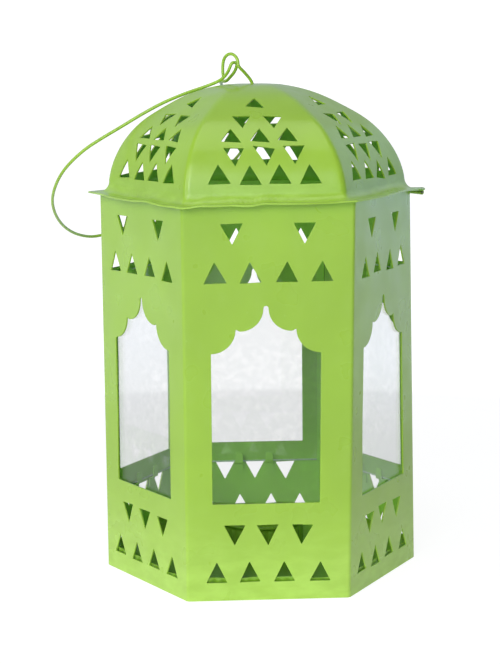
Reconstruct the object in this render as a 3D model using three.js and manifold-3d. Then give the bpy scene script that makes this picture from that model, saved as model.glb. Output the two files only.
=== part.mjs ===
// Hexagonal punched-metal tealight lantern: folded body, glazed windows, hinged dome lid and wire handle.
// Millimetres, +Z up. The origin is on the floor at the centre of the hexagon. Two of its corners lie
// on the X axis, and the front wall faces -Y.
import * as THREE from 'three';
import { mergeVertices } from 'three/addons/utils/BufferGeometryUtils.js';
import Module from 'manifold-3d';

// Body. The walls are counted anticlockwise from the front one.
const WALL_NAMES = ['front', 'front_right', 'back_right', 'back', 'back_left', 'front_left'];
const WALLS = WALL_NAMES.length;
const SIDE = 75;
const BODY_HEIGHT = 180;
const SHEET = 0.8;
const GAP = 0.3;
const SEAM = 0.3;

// Facets of round pieces, and the length of a cutting tool that goes right through a sheet
const ARC_SEGMENTS = 6;
const ROUND_SIDES = 12;
const CUP_SIDES = 32;
const CUT_DEPTH = 8;

// Windows, the same on every wall: u runs along the wall from its middle, z up from the floor
const WINDOW_HALF_WIDTH = 24.4;
const SILL_Z = 45.2;
const LOWER_SCALLOP_RADIUS = 11;
const LOWER_SCALLOP_Z = 125.4;
const UPPER_SCALLOP_RADIUS = 10.4;
const UPPER_SCALLOP_U = 11.5;
const UPPER_SCALLOP_Z = 134.8;

// Triangular holes of the walls: centre height, places along the wall, and which way the point is
const HOLE_WIDTH = 9.8;
const HOLE_HEIGHT = 9.4;
const WALL_ROWS = [
  { z: 169.7, up: false, places: [-15.8, 15.8] },
  { z: 149.6, up: true, places: [-23.6, -7.9, 7.9, 23.6] },
  { z: 32.2, up: false, places: [-15.7, 0, 15.7] },
  { z: 11.8, up: true, places: [-23.7, -7.9, 7.9, 23.7] },
];

// Glass panes and the bent clips that hold them
const PANE_WIDTH = 67;
const PANE_THICKNESS = 1.8;
const PANE_BOTTOM = 35.6;
const PANE_TOP = 143.2;
const CLIP_SHEET = 0.6;
const CLIP_WIDTH = 5;
const CLIP_FOOT = 5.5;
const CLIP_FINGER = 5;
const LOWER_CLIP_U = 7.85;
const UPPER_CLIP_U = 15.75;

// Floor tray and tealight cup
const TRAY_BOTTOM = 7;
const TRAY_RIM_Z = 11.8;
const CUP_RADIUS = 21;
const CUP_HEIGHT = 14;
const CUP_SHEET = 0.6;
const CUP_BOTTOM = TRAY_BOTTOM + SHEET + GAP;

// Dome lid: radii are taken at its six ridges
const DOME_RADIUS = 71;
const DOME_RISE = 51;
const DOME_SPRING_Z = 182;
const LIP_RADIUS = 80.5;
const LIP_UNDERSIDE = BODY_HEIGHT + GAP;
const COVE_RADIUS = 2.6;
const COVE_STEPS = 3;
const INNER_CHAMFER = 1;
const DOME_START_ANGLE = 5;
const DOME_END_ANGLE = 77;
const DOME_STEPS = 14;
const CROWN_Z = 232.5;
const HOOK_HOLE_X = -2;
const HOOK_HOLE_RADIUS = 1.3;

// Triangular holes of each dome face: height of the flat edge and of the point, width, places
const DOME_ROWS = [
  { edge: 223.5, point: 226.9, width: 7.9, places: [0] },
  { edge: 218.8, point: 214.8, width: 7.7, places: [-6.7, 6.7] },
  { edge: 208.6, point: 213.8, width: 8.1, places: [-12.9, 0, 12.9] },
  { edge: 205.1, point: 198.4, width: 8.7, places: [-13.5, 0, 13.5] },
  { edge: 190.5, point: 198, width: 8.8, places: [-20.1, -6.7, 6.7, 20.1] },
];

// Lid hinge, along the top of the back right wall, whose outward normal is 30 degrees from +X
const HINGE_TURN = 30;
const HINGE_OUT = 70.5;
const BARREL_RADIUS = 1.4;
const BARREL_BORE = 0.8;
const PIN_RADIUS = 0.5;
const HINGE_Z = LIP_UNDERSIDE + SHEET - BARREL_RADIUS;
const HINGE_LENGTH = 78;
const KNUCKLES = 5;
const KNUCKLE_GAP = 0.4;
const KNUCKLE_ARM = 3;
const PIN_REACH = HINGE_LENGTH / 2 + 0.5;
const LEAF_SHEET = 0.6;
const LEAF_BOTTOM = 173.9;

// Wire of the hook and of the handle
const WIRE_RADIUS = 0.8;
const WIRE_SIDES = 8;

// Hook. Its stem is given from the bent-over lower end upwards: x and y are counted from the axis of
// the dome's hole, z from the top of the crown. The arch stands in a plane turned from +X.
const HOOK_TURN = 130;
const HOOK_STEM = [
  [6.5, 0, -3.5], [3, 0, -3.3], [0.7, 0, -2.8], [0, 0, -1.7],
  [-0.1, 0, 0.2], [-0.9, -0.4, 1.9], [-3.8, -2.3, 5.4],
];
const HOOK_ARCH_CENTRE = new THREE.Vector3(-12.1, 0, 241);
const HOOK_ARCH_RADIUS = 5.5;
const HOOK_ARCH_STEP = 30;
const HOOK_END_DROP = 5.2;
const HOOK_STEPS = 2;

// Washer under the crown, between the sheet and the hook's bent-over end
const WASHER_RADIUS = 5;
const WASHER_BORE = 1.2;
const WASHER_THICKNESS = 0.6;
const WASHER_DROP = 0.8;
const WASHER_TOP = CROWN_Z - SHEET - WASHER_DROP;

// Handle: it turns about a line through the hook, and lies back over the dome at HANDLE_DIP
// below level. Along is measured from the pivot towards its far end, across from its middle line,
// and lift out of its plane.
const HANDLE_PIVOT = new THREE.Vector3(-10.4, -2, 242.5);
const HANDLE_DIP = 39.5;
const HANDLE_END_GAP = 0.5;
const HANDLE_STEPS = 3;
const HANDLE_EYE = [
  [0.1, 1.2, 0], [0.9, 2.3, -0.4], [2.4, 2.8, -1.2],
  [5, 2.9, -1.9], [8.5, 2.8, -1.9], [12, 3.1, -1.3],
];
const HANDLE_FRONT = [
  [17, 5.2, 0], [23.8, 14.1, 1.1], [30.9, 23.1, 1.5],
  [38.9, 31.3, 1.3], [47.1, 39.1, 0.7], [54.8, 46.9, 0],
];
const HANDLE_BACK = [
  [17, 4.6, 2.2], [23.8, 11.5, 5.3], [30.9, 19.5, 7.4],
  [38.9, 29, 7.6], [47.1, 38.3, 6], [54.8, 46.6, 3.5],
];
const HANDLE_BOW = [
  [61.4, 51.9, -0.3], [69, 54.9, -0.5], [78.5, 56, -0.5], [90, 54.1, -0.5],
  [103.3, 48.7, -0.5], [117.5, 38.4, -0.5], [130.2, 24.8, -0.5], [138, 11.5, -0.5],
];
const HANDLE_TIP = [140.9, 0, -0.5];

const rad = THREE.MathUtils.degToRad;
const COS30 = Math.cos(rad(30));
const APOTHEM = SIDE * COS30;
const INNER_APOTHEM = APOTHEM - SHEET;
const UP = new THREE.Vector3(0, 0, 1);

const wasm = await Module();
wasm.setup();

function paint(color, roughness) {
  return new THREE.MeshStandardMaterial({ color, roughness, metalness: 0.1 });
}

const material = {
  body: paint(0x9fce4f, 0.34),
  dome: paint(0x9ccb50, 0.36),
  inside: paint(0x7fae3f, 0.45),
  wire: paint(0xa6cb6a, 0.4),
  steel: new THREE.MeshStandardMaterial({ color: 0x8f9a86, roughness: 0.4, metalness: 0.8 }),
  glass: new THREE.MeshStandardMaterial({
    color: 0xe8f2ee, roughness: 0.05, metalness: 0, transparent: true, opacity: 0.35,
  }),
};

function toSolid(geometry, matrix = null) {
  const bare = geometry.clone();
  bare.deleteAttribute('normal');
  bare.deleteAttribute('uv');
  if (matrix) bare.applyMatrix4(matrix);
  const merged = mergeVertices(bare, 1e-4);
  return new wasm.Manifold(new wasm.Mesh({
    numProp: 3,
    vertProperties: new Float32Array(merged.attributes.position.array),
    triVerts: new Uint32Array(merged.index.array),
  }));
}

function toGeometry(solid) {
  const mesh = solid.getMesh();
  const geometry = new THREE.BufferGeometry();
  geometry.setAttribute('position', new THREE.BufferAttribute(new Float32Array(mesh.vertProperties), 3));
  geometry.setIndex(new THREE.BufferAttribute(new Uint32Array(mesh.triVerts), 1));
  geometry.computeVertexNormals();
  return geometry;
}

function extrude(shape, depth) {
  return new THREE.ExtrudeGeometry(shape, { depth, bevelEnabled: false, curveSegments: ARC_SEGMENTS });
}

function polygon(points) {
  return new THREE.Shape(points.map(([x, y]) => new THREE.Vector2(x, y)));
}

function box(low, high) {
  const size = high.map((value, i) => value - low[i]);
  const middle = high.map((value, i) => (value + low[i]) / 2);
  return new THREE.BoxGeometry(...size).translate(...middle);
}

// Frame of wall i, counted anticlockwise from the front: x along the wall, y up, z outwards
function wallMatrix(i, distance) {
  const turn = rad(60 * i);
  const along = new THREE.Vector3(Math.cos(turn), Math.sin(turn), 0);
  const out = new THREE.Vector3(Math.sin(turn), -Math.cos(turn), 0);
  return new THREE.Matrix4().makeBasis(along, UP, out).setPosition(out.clone().multiplyScalar(distance));
}

function triangle(width, height, up) {
  const edge = up ? -height / 3 : height / 3;
  const point = up ? 2 * height / 3 : -2 * height / 3;
  const half = up ? width / 2 : -width / 2;
  return polygon([[-half, edge], [half, edge], [0, point]]);
}

// Pointed window with two scallops on each side, drawn anticlockwise from its lower right corner
function windowShape() {
  const shape = new THREE.Shape();
  const tip = UPPER_SCALLOP_U - UPPER_SCALLOP_RADIUS;
  shape.moveTo(WINDOW_HALF_WIDTH, SILL_Z);
  shape.lineTo(WINDOW_HALF_WIDTH, LOWER_SCALLOP_Z - LOWER_SCALLOP_RADIUS);
  shape.absarc(WINDOW_HALF_WIDTH, LOWER_SCALLOP_Z, LOWER_SCALLOP_RADIUS, -Math.PI / 2, -Math.PI, true);
  shape.absarc(UPPER_SCALLOP_U, UPPER_SCALLOP_Z, UPPER_SCALLOP_RADIUS, -Math.PI / 2, -Math.PI, true);
  shape.absarc(0, UPPER_SCALLOP_Z, tip, 0, Math.PI, false);
  shape.absarc(-UPPER_SCALLOP_U, UPPER_SCALLOP_Z, UPPER_SCALLOP_RADIUS, 0, -Math.PI / 2, true);
  shape.absarc(-WINDOW_HALF_WIDTH, LOWER_SCALLOP_Z, LOWER_SCALLOP_RADIUS, 0, -Math.PI / 2, true);
  shape.lineTo(-WINDOW_HALF_WIDTH, SILL_Z);
  return shape;
}

function wallHoles(i) {
  const matrix = wallMatrix(i, APOTHEM - CUT_DEPTH / 2);
  const holes = [toSolid(extrude(windowShape(), CUT_DEPTH), matrix)];
  for (const row of WALL_ROWS) {
    for (const u of row.places) {
      const hole = extrude(triangle(HOLE_WIDTH, HOLE_HEIGHT, row.up), CUT_DEPTH).translate(u, row.z, 0);
      holes.push(toSolid(hole, matrix));
    }
  }
  return holes;
}

// Half of the body: one sheet folded over three walls, from wall i to wall i + 2
function wrap(first) {
  const outer = [];
  const inner = [];
  const innerSide = INNER_APOTHEM / COS30;
  for (let corner = 0; corner < 4; corner += 1) {
    const angle = rad(60 * (first + corner) - 120);
    outer.push([SIDE * Math.cos(angle), SIDE * Math.sin(angle)]);
    inner.unshift([innerSide * Math.cos(angle), innerSide * Math.sin(angle)]);
  }
  const outline = [...outer, ...inner];
  const sign = Math.sign(outer[1][1]);
  for (const end of [outline[0], outline[3], outline[4], outline[7]]) {
    end[0] -= Math.sign(end[0]) * (SEAM / 2) / Math.sqrt(3);
    end[1] = sign * SEAM / 2;
  }
  let sheet = toSolid(extrude(polygon(outline), BODY_HEIGHT));
  for (let i = first; i < first + 3; i += 1) {
    for (const hole of wallHoles(i)) sheet = sheet.subtract(hole);
  }
  return toGeometry(sheet);
}

function pane() {
  const geometry = new THREE.BoxGeometry(PANE_WIDTH, PANE_TOP - PANE_BOTTOM, PANE_THICKNESS);
  return geometry.translate(0, (PANE_TOP + PANE_BOTTOM) / 2, -GAP - PANE_THICKNESS / 2);
}

// Bent strip: a foot on the wall, a step past the pane's edge and a finger over its inner face.
// It is drawn from the side, with x into the lantern and y towards the pane.
function clip() {
  const finger = 2 * GAP + PANE_THICKNESS;
  const shape = polygon([
    [GAP, -CLIP_FOOT], [GAP + CLIP_SHEET, -CLIP_FOOT], [GAP + CLIP_SHEET, -GAP - CLIP_SHEET],
    [finger + CLIP_SHEET, -GAP - CLIP_SHEET], [finger + CLIP_SHEET, CLIP_FINGER], [finger, CLIP_FINGER],
    [finger, -GAP], [GAP, -GAP],
  ]);
  return extrude(shape, CLIP_WIDTH).translate(0, 0, -CLIP_WIDTH / 2).rotateY(Math.PI / 2);
}

// Turned about Z. With six sides the profile's radii are those of the corners, two of them on the X axis.
function lathe(profile, sides) {
  const points = profile.map(([r, z]) => new THREE.Vector2(r, z));
  return new THREE.LatheGeometry(points, sides, Math.PI / 2).rotateX(Math.PI / 2);
}

// Open cup or tray: radii of the wall's outside and inside, heights of the bottom, the floor and the rim
function dish(outer, inner, bottom, floor, rim, sides) {
  return lathe([[0, bottom], [outer, bottom], [outer, rim], [inner, rim], [inner, floor], [0, floor]], sides);
}

function tray() {
  const outer = INNER_APOTHEM - GAP;
  const floor = TRAY_BOTTOM + SHEET;
  return dish(outer / COS30, (outer - SHEET) / COS30, TRAY_BOTTOM, floor, TRAY_RIM_Z, WALLS);
}

function cup() {
  const floor = CUP_BOTTOM + CUP_SHEET;
  return dish(CUP_RADIUS, CUP_RADIUS - CUP_SHEET, CUP_BOTTOM, floor, CUP_BOTTOM + CUP_HEIGHT, CUP_SIDES);
}

// Point of the dome's middle line of a face at angle t of its quarter ellipse
function domePoint(t, inset = 0) {
  return [(DOME_RADIUS - inset / COS30) * Math.cos(t), DOME_SPRING_Z + (DOME_RISE - inset) * Math.sin(t)];
}

function domeProfile() {
  const start = rad(DOME_START_ANGLE);
  const end = rad(DOME_END_ANGLE);
  const outside = [];
  const inside = [];
  for (let i = 0; i <= DOME_STEPS; i += 1) {
    const t = start + (end - start) * i / DOME_STEPS;
    outside.push(domePoint(t));
    inside.unshift(domePoint(t, SHEET));
  }
  const top = LIP_UNDERSIDE + SHEET;
  const coveZ = outside[0][1];
  const coveR = outside[0][0];
  const cove = [];
  for (let i = 0; i < COVE_STEPS; i += 1) {
    const a = rad(90 * i / COVE_STEPS);
    cove.push([coveR + COVE_RADIUS * (1 - Math.sin(a)), top + (coveZ - top) * (1 - Math.cos(a))]);
  }
  const innerR = inside[inside.length - 1][0];
  return [
    [0, CROWN_Z - SHEET], ...inside,
    [innerR, LIP_UNDERSIDE + INNER_CHAMFER], [innerR + INNER_CHAMFER, LIP_UNDERSIDE],
    [LIP_RADIUS, LIP_UNDERSIDE], [LIP_RADIUS, top], ...cove, ...outside, [0, CROWN_Z],
  ];
}

function domeHoles(i) {
  const ellipseAngle = (z) => Math.asin((z - DOME_SPRING_Z) / DOME_RISE);
  const holes = [];
  for (const row of DOME_ROWS) {
    const [edgeR, edgeZ] = domePoint(ellipseAngle(row.edge));
    const [pointR, pointZ] = domePoint(ellipseAngle(row.point));
    const up = pointZ > edgeZ;
    const rise = up ? pointZ - edgeZ : edgeZ - pointZ;
    const run = (up ? pointR - edgeR : edgeR - pointR) * COS30;
    const slope = Math.atan2(-run, rise);
    const height = Math.hypot(rise, run);
    const middle = new THREE.Vector3(0, (2 * edgeZ + pointZ) / 3, COS30 * (2 * edgeR + pointR) / 3);
    for (const u of row.places) {
      const hole = extrude(triangle(row.width, height, up), CUT_DEPTH).translate(u, 0, -CUT_DEPTH / 2);
      hole.rotateX(-slope).translate(0, middle.y, middle.z);
      holes.push(toSolid(hole, wallMatrix(i, 0)));
    }
  }
  return holes;
}

// Hinge pieces are drawn for a wall facing +X and turned to the back right wall
const hingeMatrix = new THREE.Matrix4().makeRotationZ(rad(HINGE_TURN));

function knuckleSpan(i) {
  const pitch = HINGE_LENGTH / KNUCKLES;
  const start = -HINGE_LENGTH / 2 + i * pitch;
  return [start + KNUCKLE_GAP / 2, start + pitch - KNUCKLE_GAP / 2];
}

function rod(radius, from, to) {
  const cylinder = new THREE.CylinderGeometry(radius, radius, to - from, ROUND_SIDES);
  return cylinder.translate(HINGE_OUT, (from + to) / 2, HINGE_Z);
}

const hingeBore = toSolid(rod(BARREL_BORE, -HINGE_LENGTH, HINGE_LENGTH), hingeMatrix);

// One pressed shell with a flat lip. Along the hinge the lip is notched for the leaf's knuckles, and
// carries the knuckles between them on short arms.
function dome() {
  let shell = toSolid(lathe(domeProfile(), WALLS));
  for (let i = 0; i < WALLS; i += 1) {
    for (const hole of domeHoles(i)) shell = shell.subtract(hole);
  }
  const hookHole = new THREE.CylinderGeometry(HOOK_HOLE_RADIUS, HOOK_HOLE_RADIUS, CUT_DEPTH, ROUND_SIDES);
  shell = shell.subtract(toSolid(hookHole.rotateX(Math.PI / 2).translate(HOOK_HOLE_X, 0, CROWN_Z)));
  const barrelTop = HINGE_Z + BARREL_RADIUS;
  const notchIn = HINGE_OUT - BARREL_RADIUS - GAP;
  const notchOut = HINGE_OUT + BARREL_RADIUS;
  for (let i = 0; i < KNUCKLES; i += 1) {
    const [from, to] = knuckleSpan(i);
    if (i % 2 === 1) {
      const low = [notchIn, from - KNUCKLE_GAP, HINGE_Z - CUT_DEPTH];
      const notch = box(low, [notchOut, to + KNUCKLE_GAP, HINGE_Z + CUT_DEPTH]);
      shell = shell.subtract(toSolid(notch, hingeMatrix));
    } else {
      const low = [HINGE_OUT - KNUCKLE_ARM, from, barrelTop - LEAF_SHEET];
      shell = shell.add(toSolid(rod(BARREL_RADIUS, from, to), hingeMatrix));
      shell = shell.add(toSolid(box(low, [HINGE_OUT, to, barrelTop]), hingeMatrix));
    }
  }
  return toGeometry(shell.subtract(hingeBore));
}

// Strip on the outside of the wall with two knuckles on arms that reach out to the hinge line
function hingeLeaf() {
  const inner = APOTHEM + GAP;
  const [from] = knuckleSpan(1);
  const [, to] = knuckleSpan(KNUCKLES - 2);
  const armBottom = HINGE_Z - BARREL_RADIUS;
  const armTop = armBottom + LEAF_SHEET;
  let leaf = toSolid(box([inner, from, LEAF_BOTTOM], [inner + LEAF_SHEET, to, armTop]), hingeMatrix);
  for (let i = 1; i < KNUCKLES; i += 2) {
    const [start, end] = knuckleSpan(i);
    leaf = leaf.add(toSolid(box([inner, start, armBottom], [HINGE_OUT, end, armTop]), hingeMatrix));
    leaf = leaf.add(toSolid(rod(BARREL_RADIUS, start, end), hingeMatrix));
  }
  return toGeometry(leaf.subtract(hingeBore));
}

// Wire bent by hand through a list of points, with finer steps where the points are closer
class BentWire extends THREE.CatmullRomCurve3 {
  getUtoTmapping(u) {
    return u;
  }
}

function wire(points, stepsPerPoint) {
  const section = new THREE.Shape();
  section.absarc(0, 0, WIRE_RADIUS, 0, 2 * Math.PI, false);
  const path = new BentWire(points, false, 'centripetal');
  const steps = stepsPerPoint * (points.length - 1);
  const curveSegments = WIRE_SIDES / 2;
  return new THREE.ExtrudeGeometry(section, { steps, extrudePath: path, bevelEnabled: false, curveSegments });
}

// Stem through the dome's hole, bent over below it, leaning up to an open arch with a cut end
function hook() {
  const along = new THREE.Vector3(Math.cos(rad(HOOK_TURN)), Math.sin(rad(HOOK_TURN)), 0);
  const points = HOOK_STEM.map(([x, y, z]) => new THREE.Vector3(HOOK_HOLE_X + x, y, CROWN_Z + z));
  for (let angle = 0; angle <= 180; angle += HOOK_ARCH_STEP) {
    const side = -HOOK_ARCH_RADIUS * Math.cos(rad(angle));
    const rise = HOOK_ARCH_RADIUS * Math.sin(rad(angle));
    points.push(HOOK_ARCH_CENTRE.clone().addScaledVector(along, side).addScaledVector(UP, rise));
  }
  const end = points[points.length - 1].clone();
  points.push(end.addScaledVector(UP, -HOOK_END_DROP));
  return wire(points, HOOK_STEPS);
}

function washer() {
  const bottom = WASHER_TOP - WASHER_THICKNESS;
  const profile = [
    [WASHER_BORE, bottom], [WASHER_RADIUS, bottom],
    [WASHER_RADIUS, WASHER_TOP], [WASHER_BORE, WASHER_TOP], [WASHER_BORE, bottom],
  ];
  return lathe(profile, 2 * ROUND_SIDES).translate(HOOK_HOLE_X, 0, 0);
}

// Open loop: both ends of the wire meet at the pivot, with HANDLE_END_GAP between them
function handle() {
  const dip = rad(HANDLE_DIP);
  const turn = rad(HOOK_TURN);
  const level = new THREE.Vector3(Math.cos(turn), Math.sin(turn), 0);
  const along = level.multiplyScalar(Math.cos(dip)).addScaledVector(UP, -Math.sin(dip));
  const across = new THREE.Vector3(-Math.sin(turn), Math.cos(turn), 0);
  const lift = across.clone().cross(along).negate();
  const place = (side) => ([l, w, h]) => HANDLE_PIVOT.clone()
    .addScaledVector(along, l).addScaledVector(across, side * w).addScaledVector(lift, h);
  const eye = [[0, HANDLE_END_GAP / 2, 0], ...HANDLE_EYE];
  const front = [...eye, ...HANDLE_FRONT, ...HANDLE_BOW, HANDLE_TIP];
  const back = [...eye, ...HANDLE_BACK, ...HANDLE_BOW];
  const points = [...front.map(place(1)), ...back.map(place(-1)).reverse()];
  return wire(points, HANDLE_STEPS);
}

const lantern = new THREE.Group();

function add(name, geometry, look, matrix = null) {
  const mesh = new THREE.Mesh(geometry, look);
  mesh.name = name;
  if (matrix) mesh.applyMatrix4(matrix);
  lantern.add(mesh);
}

add('front_wrap', wrap(-1), material.body);
add('rear_wrap', wrap(2), material.body);
add('base_tray', tray(), material.inside);
add('tealight_cup', cup(), material.inside);
WALL_NAMES.forEach((wall, i) => {
  const matrix = wallMatrix(i, INNER_APOTHEM);
  add(`pane_${wall}`, pane(), material.glass, matrix);
  for (const [side, sign] of [['left', -1], ['right', 1]]) {
    const lower = clip().translate(sign * LOWER_CLIP_U, PANE_BOTTOM, 0);
    const upper = clip().rotateZ(Math.PI).translate(sign * UPPER_CLIP_U, PANE_TOP, 0);
    add(`clip_${wall}_lower_${side}`, lower, material.inside, matrix);
    add(`clip_${wall}_upper_${side}`, upper, material.inside, matrix);
  }
});
add('dome_lid', dome(), material.dome);
add('hinge_leaf', hingeLeaf(), material.body);
add('hinge_pin', rod(PIN_RADIUS, -PIN_REACH, PIN_REACH), material.steel, hingeMatrix);
add('hook', hook(), material.wire);
add('hook_washer', washer(), material.steel);
add('handle', handle(), material.wire);

export default lantern;
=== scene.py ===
"""Looks of a hexagonal punched-metal lantern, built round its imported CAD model.

Shapes are worked out in millimetres, in the row frame, and become metres in new_piece(). Walls are
counted anticlockwise from the front one, which faces -Y; along a wall u runs from its middle.
"""
import math
import random

import bpy
import numpy as np
from mathutils import Matrix, Vector
from mathutils.geometry import delaunay_2d_cdt


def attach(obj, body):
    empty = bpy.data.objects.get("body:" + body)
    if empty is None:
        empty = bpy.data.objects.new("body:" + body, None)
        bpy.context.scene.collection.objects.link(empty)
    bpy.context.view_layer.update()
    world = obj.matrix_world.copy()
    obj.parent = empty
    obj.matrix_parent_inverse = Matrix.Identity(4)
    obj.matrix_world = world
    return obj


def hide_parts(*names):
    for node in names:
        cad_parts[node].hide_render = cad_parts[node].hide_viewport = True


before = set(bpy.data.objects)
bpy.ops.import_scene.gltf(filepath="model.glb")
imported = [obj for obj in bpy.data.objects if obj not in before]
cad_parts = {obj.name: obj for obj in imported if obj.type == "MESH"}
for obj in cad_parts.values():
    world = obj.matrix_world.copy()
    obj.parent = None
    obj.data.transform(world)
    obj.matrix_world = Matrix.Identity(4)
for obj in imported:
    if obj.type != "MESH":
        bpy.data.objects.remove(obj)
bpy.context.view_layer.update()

MM = 0.001
WALL_NAMES = ["front", "front_right", "back_right", "back", "back_left", "front_left"]
TAN30 = math.tan(math.radians(30))
COS30 = math.cos(math.radians(30))

# Body
SIDE = 75
APOTHEM = SIDE * COS30
BODY_HEIGHT = 180
SHEET = 0.8
FOLD_RADIUS = 2.0
SEAM = 0.3

# Windows and triangular holes of a wall
WINDOW_HALF_WIDTH = 24.4
SILL_Z = 45.2
LOWER_SCALLOP = (24.4, 125.4, 11.0)
UPPER_SCALLOP = (11.5, 134.8, 10.4)
HOLE_WIDTH = 9.8
HOLE_HEIGHT = 9.4
WALL_ROWS = [
    (169.7, False, (-15.8, 15.8)),
    (149.6, True, (-23.5, -8.0, 8.0, 23.5)),
    (32.0, False, (-15.7, -0.4, 15.5)),
    (11.8, True, (-24.0, -8.7, 7.3, 23.5)),
]

# The back wall, whose top row was punched higher and less evenly
BACK_ROWS = [WALL_ROWS[0], (151.2, True, (-25.2, -8.2, 8.0, 23.5))] + WALL_ROWS[2:]

# Rounding of the paint over the sheet's cut edges, and of the corners of its holes
EDGE_ROUND = 0.16
CORNER_ROUND = 0.25

# Meshes: spacing of points on the walls, steps round a fold, free band beside a cut edge
GRID_STEP = 3.0
FOLD_STEPS = 4
CLEARANCE = 0.55

# The body isn't quite regular: how far each corner stands off in X at the top and at the bottom,
# from the front left one anticlockwise
CORNER_OFFSETS_TOP = [0.0, 2.0, -1.7, 0.0, 0.0, 0.0]
CORNER_OFFSETS_BOTTOM = [0.0, -0.6, 0.85, 0.0, 0.0, 0.0]


# --- Flat sheets with holes ---

def unit(vectors):
    return vectors / np.maximum(np.linalg.norm(vectors, axis=1), 1e-9)[:, None]


def ramp(value, start, end):
    """Share of the way from start to end, from 0 to 1."""
    return np.clip((value - start) / (end - start), 0, 1)


def signed_area(loop):
    x, y = loop[:, 0], loop[:, 1]
    return 0.5 * np.sum(x * np.roll(y, -1) - np.roll(x, -1) * y)


def bend(start, corner, end, steps):
    """Points of a rounded corner."""
    shares = np.linspace(0, 1, steps + 1)
    return [(1 - t) ** 2 * start + 2 * t * (1 - t) * corner + t ** 2 * end for t in shares]


def fillet(loop, radius, steps=4, least_turn=20):
    """Rounds each corner of a closed outline that turns by more than least_turn degrees."""
    out = []
    count = len(loop)
    for i in range(count):
        before, here, after = (np.array(loop[(i + k) % count], float) for k in (-1, 0, 1))
        lengths = np.linalg.norm(here - before), np.linalg.norm(after - here)
        first, second = (here - before) / lengths[0], (after - here) / lengths[1]
        turn = math.acos(np.clip(first @ second, -1, 1))
        if math.degrees(turn) < least_turn:
            out.append(here)
        else:
            reach = min(radius * math.tan(turn / 2), 0.45 * min(lengths))
            out += bend(here - reach * first, here, here + reach * second, steps)
    return np.array(out)


def densify(loop, step):
    """Splits the long edges of a closed outline."""
    out = []
    for here, after in zip(loop, np.roll(loop, -1, 0)):
        pieces = max(1, math.ceil(np.linalg.norm(after - here) / step))
        for i in range(pieces):
            out.append(here + (after - here) * i / pieces)
    return np.array(out)


def grow(loop, distance):
    """Moves a closed outline outwards along its mitres."""
    before = unit(loop - np.roll(loop, 1, 0))
    after = unit(np.roll(loop, -1, 0) - loop)
    normal = lambda d: np.stack([d[:, 1], -d[:, 0]], 1)
    mitre = normal(before) + normal(after)
    mitre /= np.maximum(np.sum(mitre * normal(before), 1), 0.6)[:, None]
    return loop + mitre * distance * np.sign(signed_area(loop))


def inside(points, loop):
    """Which of the points lie inside a closed outline."""
    result = np.zeros(len(points), bool)
    near = np.all((points >= loop.min(0)) & (points <= loop.max(0)), axis=1)
    p = points[near][:, None]
    a, b = loop, np.roll(loop, -1, 0)
    crosses = (a[:, 1] > p[:, :, 1]) != (b[:, 1] > p[:, :, 1])
    height = np.where(b[:, 1] == a[:, 1], 1e-12, b[:, 1] - a[:, 1])
    x = a[:, 0] + (p[:, :, 1] - a[:, 1]) * (b[:, 0] - a[:, 0]) / height
    result[near] = np.sum(crosses & (p[:, :, 0] < x), axis=1) % 2 == 1
    return result


def distance_to(points, loop, reach):
    """Distance from each point to a closed outline, where it is less than reach."""
    result = np.full(len(points), reach, float)
    near = np.all((points >= loop.min(0) - reach) & (points <= loop.max(0) + reach), axis=1)
    p = points[near][:, None]
    a = loop
    ab = np.roll(loop, -1, 0) - a
    t = np.clip(((p - a) * ab).sum(2) / (ab * ab).sum(1), 0, 1)
    result[near] = np.linalg.norm(p - a - t[..., None] * ab, axis=2).min(1)
    return result


class CutSheet:
    """A flat triangulated sheet: outline and holes in 2-D, and which points lie on each of them.

    The cut edges are kept as loops at their true place; the triangles stop short of them by the
    rounding of the edge.
    """

    def __init__(self, outline, holes, fill, clearance, edge_round=EDGE_ROUND):
        self.edge_round = edge_round
        outline = densify(np.array(outline, float), clearance * 2.5)
        holes = [densify(np.array(hole, float), clearance * 2) for hole in holes]
        self.edges = [outline] + holes
        self.rims = [grow(outline, -edge_round)] + [grow(hole, edge_round) for hole in holes]
        keep = inside(fill, self.rims[0])
        for rim in self.rims:
            keep &= distance_to(fill, rim, clearance * 2) > clearance
        for rim in self.rims[1:]:
            keep &= ~inside(fill, rim)
        points = np.concatenate(self.rims + [fill[keep]])
        constraints = []
        self.loops = []
        start = 0
        for rim in self.rims:
            indices = list(range(start, start + len(rim)))
            constraints += list(zip(indices, indices[1:] + indices[:1]))
            self.loops.append(indices)
            start += len(rim)
        vectors = [Vector(p) for p in points]
        verts, _, faces, origins, _, _ = delaunay_2d_cdt(vectors, constraints, [], 1, 1e-6)
        self.points = np.array([v[:] for v in verts])
        place = {}
        for new, old in enumerate(origins):
            for index in old:
                place[index] = new
        self.loops = [[place[i] for i in loop] for loop in self.loops]
        faces = np.array(faces)
        middles = self.points[faces].mean(1)
        solid = np.ones(len(faces), bool)
        for rim in self.rims[1:]:
            solid &= ~inside(middles, rim)
        faces = faces[solid]
        a, b, c = (self.points[faces[:, k]] for k in range(3))
        area = (b[:, 0] - a[:, 0]) * (c[:, 1] - a[:, 1]) - (b[:, 1] - a[:, 1]) * (c[:, 0] - a[:, 0])
        faces[area < 0] = faces[area < 0][:, ::-1]
        self.faces = faces


def face_normals(verts, faces):
    """Vertex normals of a triangle mesh, weighted by area."""
    a, b, c = (verts[faces[:, k]] for k in range(3))
    normals = np.zeros_like(verts)
    for k in range(3):
        np.add.at(normals, faces[:, k], np.cross(b - a, c - a))
    return unit(normals)


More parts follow.
